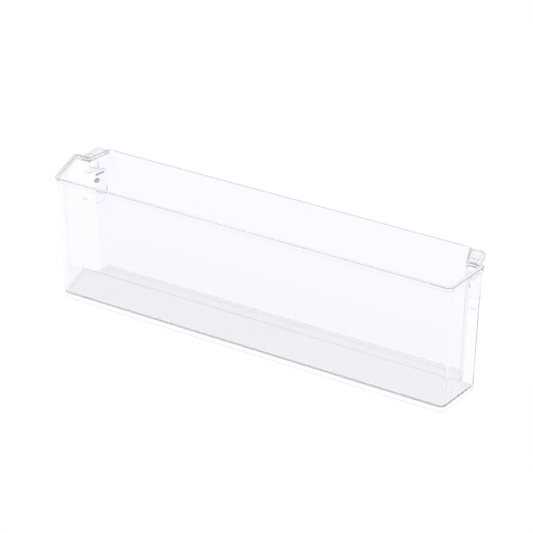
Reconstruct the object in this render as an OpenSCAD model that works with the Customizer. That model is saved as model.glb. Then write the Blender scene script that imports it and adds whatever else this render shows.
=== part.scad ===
// Clear door bin of a refrigerator: a long, narrow tub that hangs between the two upright
// ribs of the door's inner liner. The front part is wider than the gap between the ribs and
// stops against them with a step, and the rear part slips in between. At each end a hook lies
// on the liner's rib, and a channel that is open at the bottom drops over a lug of the liner.
// The plan is symmetrical about X = 0. +X is to the right, +Y towards the door, +Z up.

/* [Tub] */
// Height from the foot edge to the rim
tub_h = 147; // [135:1:180]
// Half length of the front wall at the rim, to its sharp corner point
front_half = 227.5; // [160:0.5:260]
// Depth over the walls at the rim
depth = 82; // [78:1:90]
// Thickness of every wall
wall = 2.2; // [1.8:0.1:2.8]
// Distance from the front face back to the step
step_y = 54; // [50:1:55]
// How far each end spreads outwards between the front corner and the step
flare = 10.5; // [8:0.5:16]
// How far the step comes back inwards
step_in = 16.5; // [15:0.5:18]
// How far each end closes in between the step and the back wall
rear_taper = 8; // [5:0.5:10]
// Draft of the end walls, rim to foot edge
end_draft = 1.5; // [0.5:0.1:2.5]
// Lean of the back wall, rim to foot edge
back_lean = 8.5; // [4:0.5:9]

/* [Rim and floor] */
// Height of the bead along the rim
rim_h = 4.5; // [3.5:0.5:6]
// How far the bead stands out from the wall
rim_lip = 2; // [1:0.5:3]
// Height of the floor's upper face above the foot edge
floor_top = 8; // [6:0.5:11]
// Thickness of the floor
floor_t = 2.5; // [2:0.1:3]

/* [Hooks] */
// How far the hook reaches out past the root of the step
hook_reach = 10.5; // [9:0.5:12]
// Thickness of the hook's plate
hook_t = 2.5; // [2:0.1:3]
// Height of the hook's outer lip
hook_drop = 5.5; // [5:0.5:8]

/* [Lug channel] */
// Clear width of the channel, from the step to the guide rib
channel_w = 20; // [17:0.5:21]
// How far the channel's ribs reach out past the root of the step
channel_d = 6.5; // [5.5:0.5:8]
// Height of the seat's underside, which rests on the lug
seat_z = 127; // [115:0.5:128]
// Height of the guide rib's lower end above the foot edge
guide_low = 95; // [85:1:100]
// Inside radius of the bend between the seat and the guide rib
guide_bend = 6; // [4:0.5:8]

/* [Hidden] */

rib_t = 2;                               // seat, guide rib, web, lock bar and ledge
hook_rib_t = 1.2;                        // stiffening rib under the hook's plate
hook_rib_h = 2;
hook_taper = 2.5;                        // the hook's outer edge closes in towards the door
hook_sink = 1;                           // the plate's top lies this far below the rim
hook_corner_r = 5;
stand = 1.2;                             // how far bar, pip and pad stand out of the wall
bar_y = 8;                               // bar, pip and pad, measured back from the step
bar_len = 10;
bar_below_seat = 5;
pip_y = 9;
pip_r = 2.8;
pip_below_seat = 11;
pad_h = 12;
pad_below_seat = 39;
ledge_below_seat = 32;
ledge_len = 6.5;

front_y = (rim_lip - depth) / 2;         // so that the box over the rim is centred on Y = 0
back_y = front_y + depth;
step_at = front_y + step_y;
taper_slope = rear_taper / (depth - step_y);
band_z = tub_h - rim_h;                  // lower edge of the rim bead
hook_top = tub_h - hook_sink;
plate_z = hook_top - hook_t;             // underside of the hook's plate
root_x = front_half + flare - step_in;   // sharp inner corner of the step at the rim
hook_x = root_x + hook_reach;
channel_x = root_x + channel_d;
guide_y = step_at + channel_w;           // front face of the guide rib
arc_steps = 8;

// Corners of the plan, right half: front corner, step outside, step inside, back corner.
FRONT = 1;
OUTER = 2;
INNER = 3;
BACK = 4;
corner_r = [0, 7, 2.5, 4, 4];            // outside radius at each corner

clear = "#e9ecf8";
frosted = "#d9dbe6";
grained = "#dfe2f0";

function unit(v) = v / norm(v);
function normal_of(v) = [-v.y, v.x];
function mirrored(points) = [for (p = points) [-p.x, p.y]];
function reversed(points) = [for (i = [len(points) - 1 : -1 : 0]) points[i]];
function first(points) = points[0];
function last(points) = points[len(points) - 1];

// Sharp corners of the outside face at height z, from the front middle round to the back
// middle. The walls lean up to the rim band, and the band itself is upright.
function plan(z) =
    let (down = max(0, 1 - z / band_z),
         front_x = front_half - end_draft * down,
         inner_x = front_x + flare - step_in,
         y_back = back_y - back_lean * down)
    [[0, front_y],
     [front_x, front_y],
     [front_x + flare, step_at],
     [inner_x, step_at],
     [inner_x - taper_slope * (y_back - step_at), y_back],
     [0, y_back]];

// Corner p between two neighbours, rounded to radius r, as arc_steps + 1 points.
function rounded(before, p, after, r) =
    let (u = unit(p - before),
         v = unit(after - p),
         turn = cross(u, v) > 0 ? 1 : -1,
         angle = acos(u * v),
         start = p - u * r * tan(angle / 2),
         spoke = -turn * r * normal_of(u))
    [for (k = [0 : arc_steps])
        let (a = turn * angle * k / arc_steps)
        start - spoke + [spoke.x * cos(a) - spoke.y * sin(a), spoke.x * sin(a) + spoke.y * cos(a)]];

// Rounded corner i of the plan at height z, with the outline moved inwards by d.
function corner(i, z, d) =
    let (c = plan(z),
         to = c[i] - c[i - 1],
         from = c[i + 1] - c[i],
         n1 = normal_of(unit(to)),
         n2 = normal_of(unit(from)),
         p = c[i] + d * (n1 + n2) / (1 + n1 * n2))
    rounded(p - to, p, p + from, corner_r[i] - (cross(to, from) > 0 ? d : -d));

// Stretches of the outline, each as a list of plan points at height z, moved inwards by d.
front_line = function (z, d) [first(mirrored(corner(FRONT, z, d))), first(corner(FRONT, z, d))];
front_arc = function (z, d) corner(FRONT, z, d);
flared_line = function (z, d) [last(corner(FRONT, z, d)), first(corner(OUTER, z, d))];
step_line = function (z, d) concat(corner(OUTER, z, d), corner(INNER, z, d));
rear_line = function (z, d) [last(corner(INNER, z, d)), first(corner(BACK, z, d))];
back_arc = function (z, d) corner(BACK, z, d);
back_line = function (z, d) [last(corner(BACK, z, d)), last(mirrored(corner(BACK, z, d)))];
end_rim_line = function (z, d)
    concat(corner(FRONT, z, d), corner(OUTER, z, d), [[hook_x, step_at - d]]);
hook_root_line = function (z, d)
    concat([[hook_x, step_at - d]], corner(INNER, z, d), [first(corner(BACK, z, d))]);
back_rim_line = function (z, d)
    concat(corner(BACK, z, d), reversed(mirrored(corner(BACK, z, d))));

// X of the rear end's outside face at depth y and height z.
function rear_x(y, z) = plan(z)[INNER].x - taper_slope * (y - step_at);

// Solid between two rings in space with the same number of points. A ring's end is closed by one
// face, or on a bent ring by a strip of quads between opposite points, so that it has no folds.
module skin(a, b, bent = true) {
    n = len(a);
    sides = [for (i = [0 : n - 1]) let (j = (i + 1) % n) [i, i + n, j + n, j]];
    strip = [for (i = [0 : n / 2 - 2]) [i, i + 1, n - 2 - i, n - 1 - i]];
    near_end = bent ? strip : [[for (i = [0 : n - 1]) i]];
    far_end = [for (face = near_end) [for (i = reversed(face)) i + n]];
    polyhedron(concat(a, b), concat(sides, near_end, far_end));
}

function at_height(points, z) = [for (p = points) [p.x, p.y, z]];

// Wall that follows a stretch of the outline from z0 to z1.
module wall_along(line, z0, z1) {
    function ring(z) = at_height(concat(line(z, 0), reversed(line(z, wall))), z);
    skin(ring(z0), ring(z1));
}

// Upright rim band along a stretch of the outline, standing `out` proud of the wall.
module band_along(line, out) {
    translate([0, 0, band_z])
        linear_extrude(rim_h)
            polygon(concat(line(tub_h, -out), reversed(line(tub_h, wall))));
}

// Piece that stands on the rear end's outside face: its side view is a list of [y, z] points,
// and it reaches out to the plane x = reach.
module on_rear_end(side_view, reach) {
    skin([for (p = side_view) [rear_x(p.x, p.y), p.x, p.y]], [for (p = side_view) [reach, p.x, p.y]]);
}

// The same with a top parallel to the wall, `height` above it.
module pad_on_rear_end(y, z, length, tall, height) {
    side_view = [[y, z], [y + length, z], [y + length, z + tall], [y, z + tall]];
    base = [for (p = side_view) [rear_x(p.x, p.y), p.x, p.y]];
    skin(base, [for (p = base) p + [height, 0, 0]]);
}

// The piece at the right end, or its mirror image at the left end.
module at_end(side) {
    mirror([side == "left" ? 1 : 0, 0, 0]) children();
}

module floor_panel() {
    function half(z) = concat(corner(FRONT, z, wall), corner(OUTER, z, wall),
                              corner(INNER, z, wall), corner(BACK, z, wall));
    function ring(z) = at_height(concat(half(z), reversed(mirrored(half(z)))), z);
    color(frosted) skin(ring(floor_top - floor_t), ring(floor_top), bent = false);
}

module front_wall() {
    color(clear) wall_along(front_line, 0, band_z);
}

module back_wall() {
    color(clear) wall_along(back_line, 0, band_z);
}

module front_corner() {
    color(clear) wall_along(front_arc, 0, band_z);
}

module front_end() {
    color(clear) wall_along(flared_line, 0, band_z);
}

module step_wall() {
    color(clear) wall_along(step_line, 0, band_z);
}

module rear_end() {
    color(clear) wall_along(rear_line, 0, band_z);
}

module back_corner() {
    color(clear) wall_along(back_arc, 0, band_z);
}

module front_rim() {
    color(clear) band_along(front_line, rim_lip);
}

module end_rim() {
    color(clear) band_along(end_rim_line, rim_lip);
}

module back_rim() {
    color(clear) band_along(back_rim_line, 0);
}

// Outer edge of the hook, from the step round to the back edge, moved inwards by d.
function hook_edge(d) =
    let (side = [hook_x - d, step_at],
         heel = [hook_x - d - hook_taper, back_y - d],
         toe = [root_x, back_y - d])
    concat([side], rounded(side, heel, toe, hook_corner_r - d));

module hook() {
    root = concat([[hook_x, step_at]], corner(INNER, tub_h, 0), [first(corner(BACK, tub_h, 0))]);
    back_edge = [[rear_x(back_y, tub_h) + corner_r[BACK], back_y]];
    rib_x = (root_x + hook_x) / 2;
    color(grained) union() {
        band_along(hook_root_line, 0);
        translate([0, 0, plate_z])
            linear_extrude(hook_t)
                polygon(concat(reversed(root), hook_edge(0), back_edge));
        translate([0, 0, hook_top - hook_drop])
            linear_extrude(hook_drop - hook_t / 2)
                polygon(concat(hook_edge(0), reversed(hook_edge(wall))));
        translate([rib_x, step_at, plate_z - hook_rib_h])
            cube([hook_rib_t, depth - step_y - wall / 2, hook_rib_h + hook_t / 2]);
    }
}

module lug_seat() {
    bend_y = guide_y - guide_bend;
    function ring(z) = at_height(concat([[channel_x, bend_y], [rear_x(bend_y, z), bend_y]],
                                        reversed(corner(INNER, z, 0)), [[channel_x, step_at]]), z);
    color(grained) skin(ring(seat_z), ring(seat_z + rib_t));
}

// Rib that bends down from the seat and runs along the back of the channel.
module lug_guide() {
    function arc(r) = [for (k = [0 : arc_steps])
        let (a = 90 * k / arc_steps)
        [guide_y - guide_bend + r * sin(a), seat_z - guide_bend + r * cos(a)]];
    side_view = concat([[guide_y, guide_low]], reversed(arc(guide_bend)),
                       arc(guide_bend + rib_t), [[guide_y + rib_t, guide_low]]);
    color(grained) on_rear_end(side_view, channel_x);
}

// Upright web that stiffens the seat against the hook.
module seat_web() {
    y = step_at + channel_w / 2;
    side_view = [[y, seat_z + rib_t], [y + rib_t, seat_z + rib_t], [y + rib_t, plate_z], [y, plate_z]];
    color(grained) on_rear_end(side_view, channel_x);
}

// Short bar that the lug clicks past.
module lock_bar() {
    color(grained)
        pad_on_rear_end(step_at + bar_y, seat_z - bar_below_seat, bar_len, rib_t, stand);
}

module lock_pip() {
    y = step_at + pip_y;
    z = seat_z - pip_below_seat;
    color(grained)
        translate([rear_x(y, z), y, z])
            rotate([0, 90, -atan(taper_slope)])
                translate([0, 0, -stand / 2])
                    cylinder(r = pip_r, h = stand * 1.5, $fn = 48);
}

// Low pad at the mouth of the channel, which takes the lug's side play.
module lug_pad() {
    color(grained)
        pad_on_rear_end(step_at + bar_y, seat_z - pad_below_seat, bar_len, pad_h, stand);
}

// Ledge on the back of the step, which stops the lug's shoulder.
module step_ledge() {
    color(grained)
        translate([root_x + corner_r[INNER], step_at, seat_z - ledge_below_seat])
            cube([ledge_len, rib_t, rib_t]);
}

floor_panel();  // floor
front_wall();
back_wall();
at_end("left") front_corner();  // left_front_corner
at_end("right") front_corner();  // right_front_corner
at_end("left") front_end();  // left_front_end
at_end("right") front_end();  // right_front_end
at_end("left") step_wall();  // left_step
at_end("right") step_wall();  // right_step
at_end("left") rear_end();  // left_rear_end
at_end("right") rear_end();  // right_rear_end
at_end("left") back_corner();  // left_back_corner
at_end("right") back_corner();  // right_back_corner
front_rim();
at_end("left") end_rim();  // left_end_rim
at_end("right") end_rim();  // right_end_rim
back_rim();
at_end("left") hook();  // left_hook
at_end("right") hook();  // right_hook
at_end("left") lug_seat();  // left_lug_seat
at_end("right") lug_seat();  // right_lug_seat
at_end("left") lug_guide();  // left_lug_guide
at_end("right") lug_guide();  // right_lug_guide
at_end("left") seat_web();  // left_seat_web
at_end("right") seat_web();  // right_seat_web
at_end("left") lock_bar();  // left_lock_bar
at_end("right") lock_bar();  // right_lock_bar
at_end("left") lock_pip();  // left_lock_pip
at_end("right") lock_pip();  // right_lock_pip
at_end("left") lug_pad();  // left_lug_pad
at_end("right") lug_pad();  // right_lug_pad
at_end("left") step_ledge();  // left_step_ledge
at_end("right") step_ledge();  // right_step_ledge
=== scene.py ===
"""Clear door bin of a refrigerator, standing on a pale floor in soft studio light."""

import math

import bmesh
import bpy
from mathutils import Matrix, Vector


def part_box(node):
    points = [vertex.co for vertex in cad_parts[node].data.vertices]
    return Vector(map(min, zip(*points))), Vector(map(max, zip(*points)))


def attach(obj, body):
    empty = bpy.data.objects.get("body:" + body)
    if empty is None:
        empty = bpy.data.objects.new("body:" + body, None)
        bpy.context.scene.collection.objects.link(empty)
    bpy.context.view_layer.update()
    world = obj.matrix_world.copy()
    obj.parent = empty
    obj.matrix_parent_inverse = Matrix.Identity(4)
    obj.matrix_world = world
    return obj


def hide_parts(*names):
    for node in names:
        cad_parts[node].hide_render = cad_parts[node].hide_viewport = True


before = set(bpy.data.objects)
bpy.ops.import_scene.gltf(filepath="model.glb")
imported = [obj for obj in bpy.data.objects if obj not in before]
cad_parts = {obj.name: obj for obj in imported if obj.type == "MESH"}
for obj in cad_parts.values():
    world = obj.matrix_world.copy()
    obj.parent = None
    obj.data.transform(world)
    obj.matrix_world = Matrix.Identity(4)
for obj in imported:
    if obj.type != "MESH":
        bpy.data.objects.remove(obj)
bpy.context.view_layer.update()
MM = 0.001

# ---------------------------------------------------------------------------------------------
# Camera: a long lens that looks down into the bin from the right of its front.
camera_data = bpy.data.cameras.new("camera")
camera_data.lens = 136.4
camera = bpy.data.objects.new("camera", camera_data)
bpy.context.collection.objects.link(camera)
camera_aim = Vector((3.0, 1.3, 83.7)) * MM
camera_azimuth, camera_elevation = math.radians(29.16), math.radians(31.09)
camera_distance = 2.087
towards_camera = Vector((math.sin(camera_azimuth) * math.cos(camera_elevation),
                         -math.cos(camera_azimuth) * math.cos(camera_elevation),
                         math.sin(camera_elevation)))
camera.location = camera_aim + towards_camera * camera_distance
camera.rotation_euler = towards_camera.to_track_quat("Z", "Y").to_euler()
bpy.context.scene.camera = camera

# ---------------------------------------------------------------------------------------------
# Clear polystyrene: the whole bin is one moulding of it, glass-clear with a cool violet cast.
# The mould was polished for the walls, so the skin is smooth and only a slow waviness shows.


def linear(hex_colour):
    """The linear RGBA of an sRGB hex colour such as "#ffffff"."""
    values = [int(hex_colour[i:i + 2], 16) / 255 for i in (1, 3, 5)]
    return [v / 12.92 if v <= 0.04045 else ((v + 0.055) / 1.055) ** 2.4 for v in values] + [1.0]


def add_node(material, kind, settings=None, links=None):
    """Adds a node, sets its properties and input values, and links its inputs."""
    node = material.node_tree.nodes.new(kind)
    for name, value in (settings or {}).items():
        if name in node.inputs:
            node.inputs[name].default_value = value
        else:
            setattr(node, name, value)
    for name, socket in (links or {}).items():
        material.node_tree.links.new(socket, node.inputs[name])
    return node


def new_polystyrene(name, colour, clearness, roughness):
    """A polystyrene of one finish, and its shader."""
    material = bpy.data.materials.new(name)
    material.use_nodes = True
    shader = material.node_tree.nodes["Principled BSDF"]
    shader.inputs["Base Color"].default_value = linear(colour)
    shader.inputs["Transmission Weight"].default_value = clearness
    shader.inputs["IOR"].default_value = 1.59
    shader.inputs["Roughness"].default_value = roughness
    return material, shader


def add_relief(material, shader, spot_mm, height_mm, detail=2.0, stretch=(1, 1, 1)):
    """Relief in the skin: soft hills that are spot_mm wide and height_mm high."""
    place = add_node(material, "ShaderNodeTexCoord")
    turned = add_node(material, "ShaderNodeMapping", {"Scale": stretch},
                      {"Vector": place.outputs["Object"]})
    hills = add_node(material, "ShaderNodeTexNoise",
                     {"Scale": 1 / (spot_mm * MM), "Detail": detail},
                     {"Vector": turned.outputs["Vector"]})
    bump = add_node(material, "ShaderNodeBump", {"Strength": 1.0, "Distance": height_mm * MM},
                    {"Height": hills.outputs["Fac"]})
    material.node_tree.links.new(bump.outputs["Normal"], shader.inputs["Normal"])


polished, polished_shader = new_polystyrene("clear_polystyrene_polished", "#fefdff", 1.0, 0.0)
# the melt flows along the bin, so the waviness is longer that way than it is high
add_relief(polished, polished_shader, spot_mm=22, height_mm=0.02, stretch=(0.35, 1, 1))

# Two pieces of the moulding meet in a seam that isn't there on the real bin, so it is unseen.
seam = bpy.data.materials.new("clear_polystyrene_unbroken")
seam.use_nodes = True
seam.node_tree.nodes["Principled BSDF"].inputs["Alpha"].default_value = 0.0

# ---------------------------------------------------------------------------------------------
# Tub: walls, floor and rim, moulded in one in clear polystyrene. It is drawn as one shell, from
# its foot up, and parted into its named pieces further down.
wall_box, floor_box, rim_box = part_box("front_wall"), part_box("floor"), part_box("front_rim")
wall = wall_box[1].y - wall_box[0].y
front_y = wall_box[0].y
rim_low, tub_top = rim_box[0].z, rim_box[1].z
rim_lip = wall_box[0].y - rim_box[0].y
step_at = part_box("right_lug_seat")[0].y
back_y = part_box("back_rim")[1].y
foot_back_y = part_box("back_wall")[0].y + wall
floor_low, floor_top = floor_box[0].z, floor_box[1].z
end_draft = 1.5 * MM                      # how far the end walls lean outwards
back_lean = back_y - foot_back_y
rear_slope = 8 / 28                       # the rear ends close in by 8 mm over 28 mm of depth
near = 0.2 * MM                           # places closer than this count as the same
exact = 1e-6                              # m: how closely a cut keeps to its plane
outside, inside, cut_face, own = range(4)  # material slots of the tub and of its pieces


def start_piece(name, add_primitive, **settings):
    """Adds a primitive with nothing else selected, and goes into edit mode."""
    bpy.ops.object.select_all(action="DESELECT")
    add_primitive(**settings)
    piece = bpy.context.object
    piece.name = piece.data.name = name
    bpy.ops.object.mode_set(mode="EDIT")
    return piece


def pick(kind, test):
    """In edit mode, selects only the vertices, edges or faces that pass the test."""
    bpy.ops.mesh.select_mode(type=kind)
    bpy.ops.mesh.select_all(action="DESELECT")
    shape = bmesh.from_edit_mesh(bpy.context.object.data)
    for part in {"VERT": shape.verts, "EDGE": shape.edges, "FACE": shape.faces}[kind]:
        part.select_set(test(part))
    bmesh.update_edit_mesh(bpy.context.object.data)


def middle(part):
    return sum((v.co for v in part.verts), Vector()) / len(part.verts)


def level(part, z):
    return all(abs(v.co.z - z) < near for v in part.verts)


def face_outwards():
    bpy.ops.mesh.select_all(action="SELECT")
    bpy.ops.mesh.normals_make_consistent(inside=False)


def apply_modifier(piece, kind, **settings):
    bpy.context.view_layer.objects.active = piece
    modifier = piece.modifiers.new(kind.lower(), kind)
    for name, value in settings.items():
        setattr(modifier, name, value)
    bpy.ops.object.modifier_apply(modifier=modifier.name)


foot_root_x = 220.0                       # mm: where the step meets the rear end
rear_x = foot_root_x - rear_slope * (foot_back_y - step_at) / MM
# sharp corners of the foot's right half, from the front: x, y and outside radius in mm
foot_corners = [(226.0, front_y / MM, 7), (236.5, step_at / MM, 2.5),
                (foot_root_x, step_at / MM, 4), (rear_x, foot_back_y / MM, 4)]
foot = foot_corners + [(-x, y, r) for x, y, r in reversed(foot_corners)]

tub = start_piece("tub", bpy.ops.mesh.primitive_circle_add, vertices=len(foot), radius=wall,
                  fill_type="NGON")
shape = bmesh.from_edit_mesh(tub.data)
for vertex, (x, y, radius) in zip(shape.verts, foot):
    vertex.co = Vector((x, y, 0)) * MM
for i, (x, y, radius) in enumerate(foot):
    here, before = Vector((x, y)), Vector(foot[i - 1][:2])
    after = Vector(foot[(i + 1) % len(foot)][:2])
    turn = (here - before).angle(after - here)
    pick("VERT", lambda v: (v.co.xy - here * MM).length < near)
    bpy.ops.mesh.bevel(offset=radius * math.tan(turn / 2) * MM, affect="VERTICES", segments=12)
bpy.ops.mesh.select_mode(type="FACE")
bpy.ops.mesh.select_all(action="SELECT")
bpy.ops.mesh.extrude_region_move(TRANSFORM_OT_translate={"value": (0, 0, rim_low)})
# the end walls and the back wall lean outwards on their way up to the rim
past_step = step_at + 10 * MM             # between the step's corners and the back corners
for side in (-1, 1):
    pick("VERT", lambda v: v.co.z > near and v.co.x * side > 0 and v.co.y < past_step)
    bpy.ops.transform.translate(value=(side * end_draft, 0, 0))
    pick("VERT", lambda v: v.co.z > near and v.co.x * side > 0 and v.co.y > past_step)
    bpy.ops.transform.translate(
        value=(side * (end_draft - rear_slope * back_lean), back_lean, 0))
pick("FACE", lambda f: level(f, rim_low))
bpy.ops.mesh.extrude_region_move(TRANSFORM_OT_translate={"value": (0, 0, tub_top - rim_low)})
pick("FACE", lambda f: level(f, 0) or level(f, tub_top))
bpy.ops.mesh.delete(type="ONLY_FACE")
face_outwards()
bpy.ops.object.mode_set(mode="OBJECT")
tub.data.materials.append(polished)       # outside
tub.data.materials.append(polished)       # inside
apply_modifier(tub, "SOLIDIFY", thickness=wall, offset=-1, use_even_offset=True,
               material_offset=inside)

bpy.ops.object.mode_set(mode="EDIT")
for z in (0, tub_top):
    pick("VERT", lambda v: abs(v.co.z - z) < near)
    bpy.ops.transform.resize(value=(1, 1, 0), center_override=(0, 0, z))
# floor: the inner wall opens between the floor's two levels, and each level is closed
for z in (floor_low, floor_top):
    bpy.ops.mesh.select_all(action="SELECT")
    bpy.ops.mesh.bisect(plane_co=(0, 0, z), plane_no=(0, 0, 1), threshold=exact)
pick("FACE", lambda f: f.material_index == inside and floor_low < middle(f).z < floor_top)
bpy.ops.mesh.delete(type="FACE")
for z in (floor_low, floor_top):
    pick("EDGE", lambda e: e.is_boundary and level(e, z))
    bpy.ops.mesh.edge_face_add()
face_outwards()
# rim bead: the band's outer face stands out, except along the rear ends and the back
pick("FACE", lambda f: f.material_index == outside and abs(f.normal.z) < 0.1
     and middle(f).z > rim_low and middle(f).y < step_at + near)
bpy.ops.mesh.extrude_region_shrink_fatten(
    TRANSFORM_OT_shrink_fatten={"value": rim_lip, "use_even_offset": True})
bpy.ops.object.mode_set(mode="OBJECT")

# ---------------------------------------------------------------------------------------------
# Hooks: a plate with a turned-down lip reaches out from the rim at each rear end and lies on
# the rib of the door liner. They are moulded with the tub, so they are joined to its shell.
hook_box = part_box("right_hook")
hook_top = tub_top - 1 * MM               # the plate lies a step below the rim
hook_drop = hook_top - hook_box[0].z
hook_plate = 2.5 * MM
hook_corner = 4.5 * MM
hook_heel_x = hook_box[1].x - 2.5 * MM    # the outer edge closes in towards the back
hook_back_y = hook_box[1].y - 0.1 * MM
hook_front_y = step_at - 0.6 * MM
root_x = 221.5 * MM
# the plate seen from above: its (x, y) corners, from the front of the outer edge to the root
hook_plan = [(hook_box[1].x, hook_front_y), (hook_box[1].x, step_at + 2.5 * MM),
             (hook_heel_x, hook_back_y), (root_x - 7 * MM, hook_back_y),
             (root_x - 8.4 * MM, hook_back_y - 0.9 * MM), (root_x - 0.55 * MM, hook_front_y)]
for side in (1, -1):
    hook = start_piece("hook", bpy.ops.mesh.primitive_circle_add, vertices=len(hook_plan),
                       radius=wall, fill_type="NGON")
    shape = bmesh.from_edit_mesh(hook.data)
    for vertex, (x, y) in zip(shape.verts, hook_plan):
        vertex.co = (x * side, y, hook_top)
    pick("VERT", lambda v: v.co.y > hook_back_y - near and abs(v.co.x) > root_x)
    bpy.ops.mesh.bevel(offset=hook_corner, affect="VERTICES", segments=10)
    bpy.ops.mesh.select_mode(type="FACE")
    bpy.ops.mesh.select_all(action="SELECT")
    bpy.ops.mesh.extrude_region_move(TRANSFORM_OT_translate={"value": (0, 0, -hook_drop)})
    pick("FACE", lambda f: level(f, hook_top - hook_drop))
    bpy.ops.mesh.inset(thickness=wall)
    bpy.ops.transform.translate(value=(0, 0, hook_drop - hook_plate))
    face_outwards()
    bpy.ops.object.mode_set(mode="OBJECT")
    apply_modifier(tub, "BOOLEAN", operation="UNION", object=hook, solver="EXACT")
    bpy.data.objects.remove(hook)
soft_edge = 0.45 * MM                     # the mould's own rounding of every sharp edge
apply_modifier(tub, "BEVEL", width=soft_edge, segments=4, limit_method="ANGLE",
               angle_limit=math.radians(35), use_clamp_overlap=False)

# ---------------------------------------------------------------------------------------------
# Floor: clear polystyrene too, but its underside is finely grained, which makes it look milky
# and hides scratches. It stands inside the walls, a little above their foot edge.
grained, grained_shader = new_polystyrene("clear_polystyrene_grained", "#fcfbff", 1.0, 0.25)
add_relief(grained, grained_shader, spot_mm=1.6, height_mm=0.05, detail=4.0)


def smooth(piece):
    """Shades round edges softly and keeps the flat faces flat."""
    bpy.ops.object.select_all(action="DESELECT")
    piece.select_set(True)
    bpy.context.view_layer.objects.active = piece
    bpy.ops.object.shade_smooth_by_angle(angle=math.radians(35))
    apply_modifier(piece, "WEIGHTED_NORMAL", keep_sharp=True, weight=100)


def part_off(name, low, high):
    """The piece of the tub between two corners, in mm; None leaves that side as it is."""
    piece = tub.copy()
    piece.data = tub.data.copy()
    piece.name = piece.data.name = name
    bpy.context.collection.objects.link(piece)
    bpy.ops.object.select_all(action="DESELECT")
    bpy.context.view_layer.objects.active = piece
    piece.select_set(True)
    piece.data.materials.append(seam)
    bpy.ops.object.mode_set(mode="EDIT")
    cuts = [(axis, place * MM, outer) for corner, outer in ((low, False), (high, True))
            for axis, place in enumerate(corner) if place is not None]
    for axis, place, outer in cuts:
        at, normal = Vector((0, 0, 0)), Vector((0, 0, 0))
        at[axis], normal[axis] = place, 1
        bpy.ops.mesh.select_mode(type="VERT")
        bpy.ops.mesh.select_all(action="SELECT")
        bpy.ops.mesh.bisect(plane_co=at, plane_no=normal, use_fill=True, clear_outer=outer,
                            clear_inner=not outer, threshold=exact)
    for axis, place, outer in cuts:
        pick("FACE", lambda f: all(abs(v.co[axis] - place) < 0.01 * MM for v in f.verts))
        piece.active_material_index = cut_face
        bpy.ops.object.material_slot_assign()
    bpy.ops.object.mode_set(mode="OBJECT")
    smooth(piece)
    return piece


def settle(piece, slot, *nodes):
    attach(piece, "root")
    if nodes:
        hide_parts(*nodes)


base_cut = floor_top / MM + 1             # mm: the floor and the foot edge lie below it
floor = part_off("floor_panel", (None, None, None), (None, None, base_cut))
floor.data.materials.append(grained)
bpy.ops.object.mode_set(mode="EDIT")
pick("FACE", lambda f: abs(f.normal.z) > 0.9 and abs(middle(f).z - floor_low) < near)
floor.active_material_index = own
bpy.ops.object.material_slot_assign()
bpy.ops.object.mode_set(mode="OBJECT")
settle(floor, "grained_floor", "floor")

# ---------------------------------------------------------------------------------------------
# Walls: the skin of clear polystyrene above the floor, moulded in one with it and parted where
# its faces change direction. The rear walls look a deeper violet grey than the front ones, and
# that is painted shade: they get a slightly darker copy of the clear polystyrene.
rear_shade, rear_shade_shader = new_polystyrene("clear_polystyrene_rear_shade", "#faf9ff", 1.0, 0.0)
add_relief(rear_shade, rear_shade_shader, spot_mm=22, height_mm=0.02, stretch=(0.35, 1, 1))
rim_cut = hook_box[0].z / MM - 0.7        # mm: just under the hook's lip
end_cut = 205.0
corner_cut, step_cut_front, step_cut_back, back_cut = -28.0, 8.0, 20.0, 30.0
front_wall = part_off("front_wall_panel", (-end_cut, None, base_cut), (end_cut, 0, rim_cut))
back_wall = part_off("back_wall_panel", (-end_cut, 0, base_cut), (end_cut, None, rim_cut))
# the back wall gets the painted shade, the darker copy of the clear polystyrene
back_wall.data.materials[outside] = back_wall.data.materials[inside] = rear_shade
settle(front_wall, "clear_plastic", "front_wall")
settle(back_wall, "clear_plastic", "back_wall")
walls = (("front_corner", None, corner_cut), ("front_end", corner_cut, step_cut_front),
         ("step", step_cut_front, step_cut_back), ("rear_end", step_cut_back, back_cut),
         ("back_corner", back_cut, None))
for end, x_low, x_high in (("left", None, -end_cut), ("right", end_cut, None)):
    for what, y_low, y_high in walls:
        piece = part_off(f"{end}_{what}_wall", (x_low, y_low, base_cut), (x_high, y_high, rim_cut))
        # the rear ends and the back corners get the painted shade too
        if what in ("rear_end", "back_corner"):
            piece.data.materials[outside] = piece.data.materials[inside] = rear_shade
        settle(piece, "clear_plastic", f"{end}_{what}")

# ---------------------------------------------------------------------------------------------
# Rim and hooks: the bead along the front and the front ends, the plain rim along the back, and
# the two hooks. They are moulded in clear polystyrene with the walls, and the skin of the hooks
# is textured so that it doesn't show wear from the liner's ribs.
textured, textured_shader = new_polystyrene("clear_polystyrene_textured", "#fcfcff", 1.0, 0.02)
add_relief(textured, textured_shader, spot_mm=1.2, height_mm=0.004, detail=3.0)
# the rim's rounded edges draw two thin grey lines along the band, darkest at the ends; the grey
# is painted shade, put into the edges' colour, with a darker grey on the end beads
rim_edge_shade, rim_edge_shade_shader = new_polystyrene("clear_polystyrene_rim_edge", "#c4c4cc", 1.0, 0.0)
end_edge_shade, end_edge_shade_shader = new_polystyrene("clear_polystyrene_end_rim_edge", "#85858d", 1.0, 0.0)
for material, shader in ((rim_edge_shade, rim_edge_shade_shader), (end_edge_shade, end_edge_shade_shader)):
    add_relief(material, shader, spot_mm=9, height_mm=0.006)


def shade_rim_edges(piece, material):
    """Paints shade on the rounded edges of the rim band: they get the given grey material."""
    piece.data.materials.append(material)
    for face in piece.data.polygons:
        rounded = 0.1 < abs(face.normal.z) < 0.99
        if rounded and face.center.z > rim_low - near and face.material_index != cut_face:
            face.material_index = own
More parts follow.
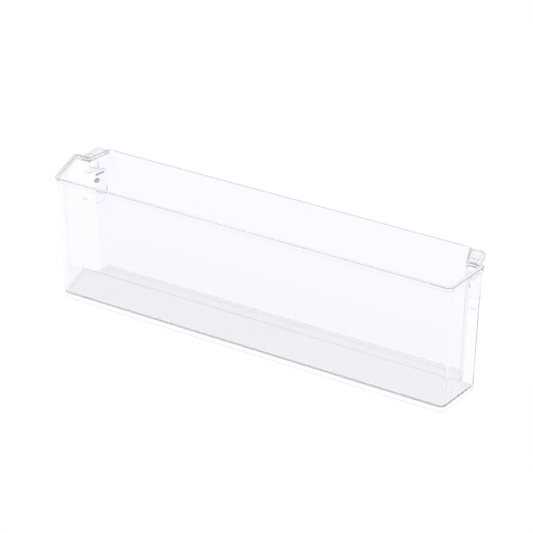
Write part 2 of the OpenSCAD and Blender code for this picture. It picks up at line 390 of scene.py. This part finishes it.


# steep little sides turn the light away, so they look dark; that dark is painted shade, a grey
# copy of the polystyrene: the step beside the hook's plate, and the bar and the pip further down
steep_shade, steep_shade_shader = new_polystyrene("clear_polystyrene_steep_sides", "#b4b4bc", 0.97, 0.1)
add_relief(steep_shade, steep_shade_shader, spot_mm=1.2, height_mm=0.006, detail=3.0)
hook_cut = 17.0
front_rim = part_off("front_rim_bead", (-end_cut, None, rim_cut), (end_cut, 0, None))
back_rim = part_off("back_rim_edge", (-end_cut, 0, rim_cut), (end_cut, None, None))
shade_rim_edges(front_rim, rim_edge_shade)
shade_rim_edges(back_rim, rim_edge_shade)
# the back rim gets the painted shade of the rear walls
back_rim.data.materials[outside] = back_rim.data.materials[inside] = rear_shade
settle(front_rim, "rim_plastic", "front_rim")
settle(back_rim, "rim_plastic", "back_rim")
for end, x_low, x_high in (("left", None, -end_cut), ("right", end_cut, None)):
    end_rim = part_off(f"{end}_end_rim_bead", (x_low, None, rim_cut), (x_high, hook_cut, None))
    # painted shade: the end's rounded rim edges get the darker grey
    shade_rim_edges(end_rim, end_edge_shade)
    settle(end_rim, "rim_plastic", f"{end}_end_rim")
    hook = part_off(f"{end}_hook_plate", (x_low, hook_cut, rim_cut), (x_high, None, None))
    # the hook's inner faces get the painted shade of the rear walls
    hook.data.materials[outside], hook.data.materials[inside] = textured, rear_shade
    # the step beside the plate gets the grey painted shade
    hook.data.materials.append(steep_shade)
    for face in hook.data.polygons:
        if face.center.z > hook_top + near and face.center.y < hook_back_y - 6 * MM:
            face.material_index = own
    settle(hook, "hook_plastic", f"{end}_hook")
bpy.data.objects.remove(tub)

# ---------------------------------------------------------------------------------------------
# Lug channel: ribs on the outside of each rear end, in which a lug of the door liner rides up to
# the seat. They are moulded with the wall; a short bar and a pip click past the lug.
seat_box, guide_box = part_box("right_lug_seat"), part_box("right_lug_guide")
channel_x = seat_box[1].x
seat_low, seat_high = seat_box[0].z, seat_box[1].z
rib = seat_high - seat_low
guide_back = guide_box[1].y
guide_low = guide_box[0].z
guide_bend = 6 * MM + rib                 # outside radius of the bend under the seat
hair = 0.02 * MM                          # room between a rib and the wall's skin
rib_depth = 25 * MM                       # reaches well through the wall before it is trimmed


def trim(stand, **side):
    """Cuts the piece off at a height over the rear end's leaning face, and closes the cut."""
    bpy.ops.mesh.select_mode(type="VERT")
    bpy.ops.mesh.select_all(action="SELECT")
    bpy.ops.mesh.bisect(plane_co=(foot_root_x * MM + stand, step_at, 0),
                        plane_no=(1, rear_slope, -end_draft / rim_low), use_fill=True, **side)


def extrude_side_view(name, corners, reach, rounds=()):
    """Solid with a side view of (y, z) corners, out to x = reach. rounds: (corner, radius)."""
    piece = start_piece(name, bpy.ops.mesh.primitive_circle_add, vertices=len(corners),
                        radius=wall, fill_type="NGON")
    shape = bmesh.from_edit_mesh(piece.data)
    for vertex, (y, z) in zip(shape.verts, corners):
        vertex.co = (reach, y, z)
    for i, radius in rounds:
        at = Vector((reach, *corners[i]))
        pick("VERT", lambda v: (v.co - at).length < near)
        bpy.ops.mesh.bevel(offset=radius, affect="VERTICES", segments=10)
    bpy.ops.mesh.select_mode(type="FACE")
    bpy.ops.mesh.select_all(action="SELECT")
    bpy.ops.mesh.extrude_region_move(TRANSFORM_OT_translate={"value": (-rib_depth, 0, 0)})
    face_outwards()
    return piece


def finish_rib(piece, slot, node, edge=0.3 * MM, finish=polished):
    """Rounds the edges, and gives the right-hand rib its twin at the left end."""
    bpy.ops.object.mode_set(mode="EDIT")
    face_outwards()
    bpy.ops.object.mode_set(mode="OBJECT")
    piece.data.materials.append(finish)
    twin = piece.copy()
    twin.data = piece.data.copy()
    twin.name = twin.data.name = piece.name.replace("right", "left")
    bpy.context.collection.objects.link(twin)
    bpy.ops.object.select_all(action="DESELECT")
    twin.select_set(True)
    bpy.context.view_layer.objects.active = twin
    bpy.ops.object.mode_set(mode="EDIT")
    bpy.ops.mesh.select_all(action="SELECT")
    bpy.ops.transform.resize(value=(-1, 1, 1), center_override=(0, 0, 0))
    face_outwards()
    bpy.ops.object.mode_set(mode="OBJECT")
    for end, half in (("right", piece), ("left", twin)):
        apply_modifier(half, "BEVEL", width=edge, segments=3, limit_method="ANGLE",
                       angle_limit=math.radians(35))
        smooth(half)
        settle(half, slot, *([f"{end}_{node}"] if node else []))


# seat and guide meet in a round bend; the guide's side view is an L with its elbow rounded
guide = extrude_side_view("right_lug_guide_rib", [
    (guide_back - guide_bend, seat_high), (guide_back, seat_high), (guide_back, guide_low),
    (guide_back - rib, guide_low), (guide_back - rib, seat_low),
    (guide_back - guide_bend, seat_low)], channel_x,
    rounds=((1, guide_bend - 0.2 * MM), (4, guide_bend - rib - 0.2 * MM)))
trim(hair, clear_inner=True)
finish_rib(guide, "hook_plastic", "lug_guide")
seat = extrude_side_view("right_lug_seat_rib", [
    (step_at + hair, seat_low), (step_at + hair, seat_high),
    (guide_back - guide_bend - hair, seat_high), (guide_back - guide_bend - hair, seat_low)],
    channel_x)
trim(hair, clear_inner=True)
# the seat keeps clear of the round inner corner of the step
pick("EDGE", lambda e: all(abs(v.co.y - step_at) < near for v in e.verts)
     and abs(e.verts[0].co.z - e.verts[1].co.z) > near and middle(e).x < channel_x - 2 * MM)
bpy.ops.mesh.bevel(offset=3 * MM, affect="EDGES", segments=8)
finish_rib(seat, "hook_plastic", "lug_seat")
web_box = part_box("right_seat_web")
web = extrude_side_view("right_seat_web_rib", [
    (web_box[0].y, seat_high + hair), (web_box[0].y, hook_top - hook_plate - hair),
    (web_box[1].y, hook_top - hook_plate - hair), (web_box[1].y, seat_high + hair)], channel_x)
trim(hair, clear_inner=True)
finish_rib(web, "hook_plastic", "seat_web")

# low bar, pad and pip on the wall inside the channel; the bar and the pip get the grey painted
# shade of steep sides
stand = 1.2 * MM                          # how far they stand out from the wall
for name, node in (("right_lock_bar_rib", "lock_bar"), ("right_lug_pad_rib", "lug_pad")):
    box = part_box("right_" + node)
    low = extrude_side_view(name, [(box[0].y, box[0].z), (box[0].y, box[1].z),
                                   (box[1].y, box[1].z), (box[1].y, box[0].z)], channel_x)
    trim(hair, clear_inner=True)
    trim(stand, clear_outer=True)
    finish_rib(low, "hook_plastic", node, finish=steep_shade if node == "lock_bar" else polished)
pip_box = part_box("right_lock_pip")
pip_middle = (pip_box[0] + pip_box[1]) / 2
pip_radius = 2.8 * MM
pip = start_piece("right_lock_pip_stud", bpy.ops.mesh.primitive_cylinder_add, vertices=32,
                  radius=pip_radius, depth=8 * MM, location=pip_middle,
                  rotation=(0, math.pi / 2, -math.atan(rear_slope)))
bpy.ops.object.mode_set(mode="OBJECT")
bpy.ops.object.transform_apply(location=True, rotation=True, scale=True)
bpy.ops.object.mode_set(mode="EDIT")
trim(hair, clear_inner=True)
trim(stand - hair, clear_outer=True)
# the pip gets the grey painted shade
finish_rib(pip, "hook_plastic", "lock_pip", finish=steep_shade)

# ledge on the back of the step, against which the lug's shoulder stops
ledge_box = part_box("right_step_ledge")
ledge_size = ledge_box[1] - ledge_box[0]
ledge = start_piece("right_step_ledge_rib", bpy.ops.mesh.primitive_cube_add, size=1,
                    location=(ledge_box[0] + ledge_box[1]) / 2 + Vector((0, hair, 0)),
                    scale=ledge_size)
pick("FACE", lambda f: f.normal.y > 0.9)
bpy.ops.transform.resize(value=(1, 1, 0.8), center_override=(ledge_box[0] + ledge_box[1]) / 2)
bpy.ops.object.mode_set(mode="OBJECT")
bpy.ops.object.transform_apply(location=True, rotation=True, scale=True)
finish_rib(ledge, "hook_plastic", "step_ledge")

# stiffening rib along the underside of the hook's plate
hook_rib_x = (root_x + hook_box[1].x) / 2 + 0.6 * MM
hook_rib_size = Vector((1.2, 20.0, 2.0)) * MM
hook_rib_middle = Vector((hook_rib_x, hook_back_y - wall - 12 * MM,
                          hook_top - hook_plate - hook_rib_size.z / 2 - hair))
hook_rib = start_piece("right_hook_rib", bpy.ops.mesh.primitive_cube_add, size=1,
                       location=hook_rib_middle, scale=hook_rib_size)
pick("FACE", lambda f: f.normal.z < -0.9)
bpy.ops.transform.resize(value=(0.8, 1, 1), center_override=(hook_rib_x, 0, 0))
bpy.ops.object.mode_set(mode="OBJECT")
bpy.ops.object.transform_apply(location=True, rotation=True, scale=True)
finish_rib(hook_rib, "hook_plastic", None, edge=0.2 * MM)

# ---------------------------------------------------------------------------------------------
# Studio: the bin stands on a lit white table, under a sky that is white at the horizon and
# greyer overhead, so that the clear edges show as thin grey lines.
table = start_piece("table", bpy.ops.mesh.primitive_plane_add, size=60)
bpy.ops.object.mode_set(mode="OBJECT")
opal = bpy.data.materials.new("opal_acrylic_lit_from_below")
opal.use_nodes = True
opal_shader = opal.node_tree.nodes["Principled BSDF"]
opal_shader.inputs["Base Color"].default_value = linear("#303030")
opal_shader.inputs["Roughness"].default_value = 1.0
opal_shader.inputs["Specular IOR Level"].default_value = 0.0
opal_shader.inputs["Emission Color"].default_value = linear("#ffffff")
opal_shader.inputs["Emission Strength"].default_value = 0.99
table.data.materials.append(opal)

sky = bpy.data.worlds.new("studio_sky")
sky.use_nodes = True
background = sky.node_tree.nodes["Background"]
direction = add_node(sky, "ShaderNodeTexCoord")
height = add_node(sky, "ShaderNodeSeparateXYZ", links={"Vector": direction.outputs["Generated"]})
fade = add_node(sky, "ShaderNodeValToRGB", links={"Fac": height.outputs["Z"]})
fade.color_ramp.elements[0].position, fade.color_ramp.elements[1].position = 0.1, 0.8
fade.color_ramp.elements[0].color = (1.1, 1.1, 1.1, 1)
fade.color_ramp.elements[1].color = (0.35, 0.35, 0.38, 1)
sky.node_tree.links.new(fade.outputs["Color"], background.inputs["Color"])
background.inputs["Strength"].default_value = 1.0
bpy.context.scene.world = sky

# Light is led a long way inside clear plastic before it leaves, so it may bounce that often.
light_paths = bpy.context.scene.cycles
light_paths.max_bounces = light_paths.transmission_bounces = 128
light_paths.glossy_bounces = light_paths.transparent_max_bounces = 128
bpy.context.scene.view_settings.view_transform = "Standard"
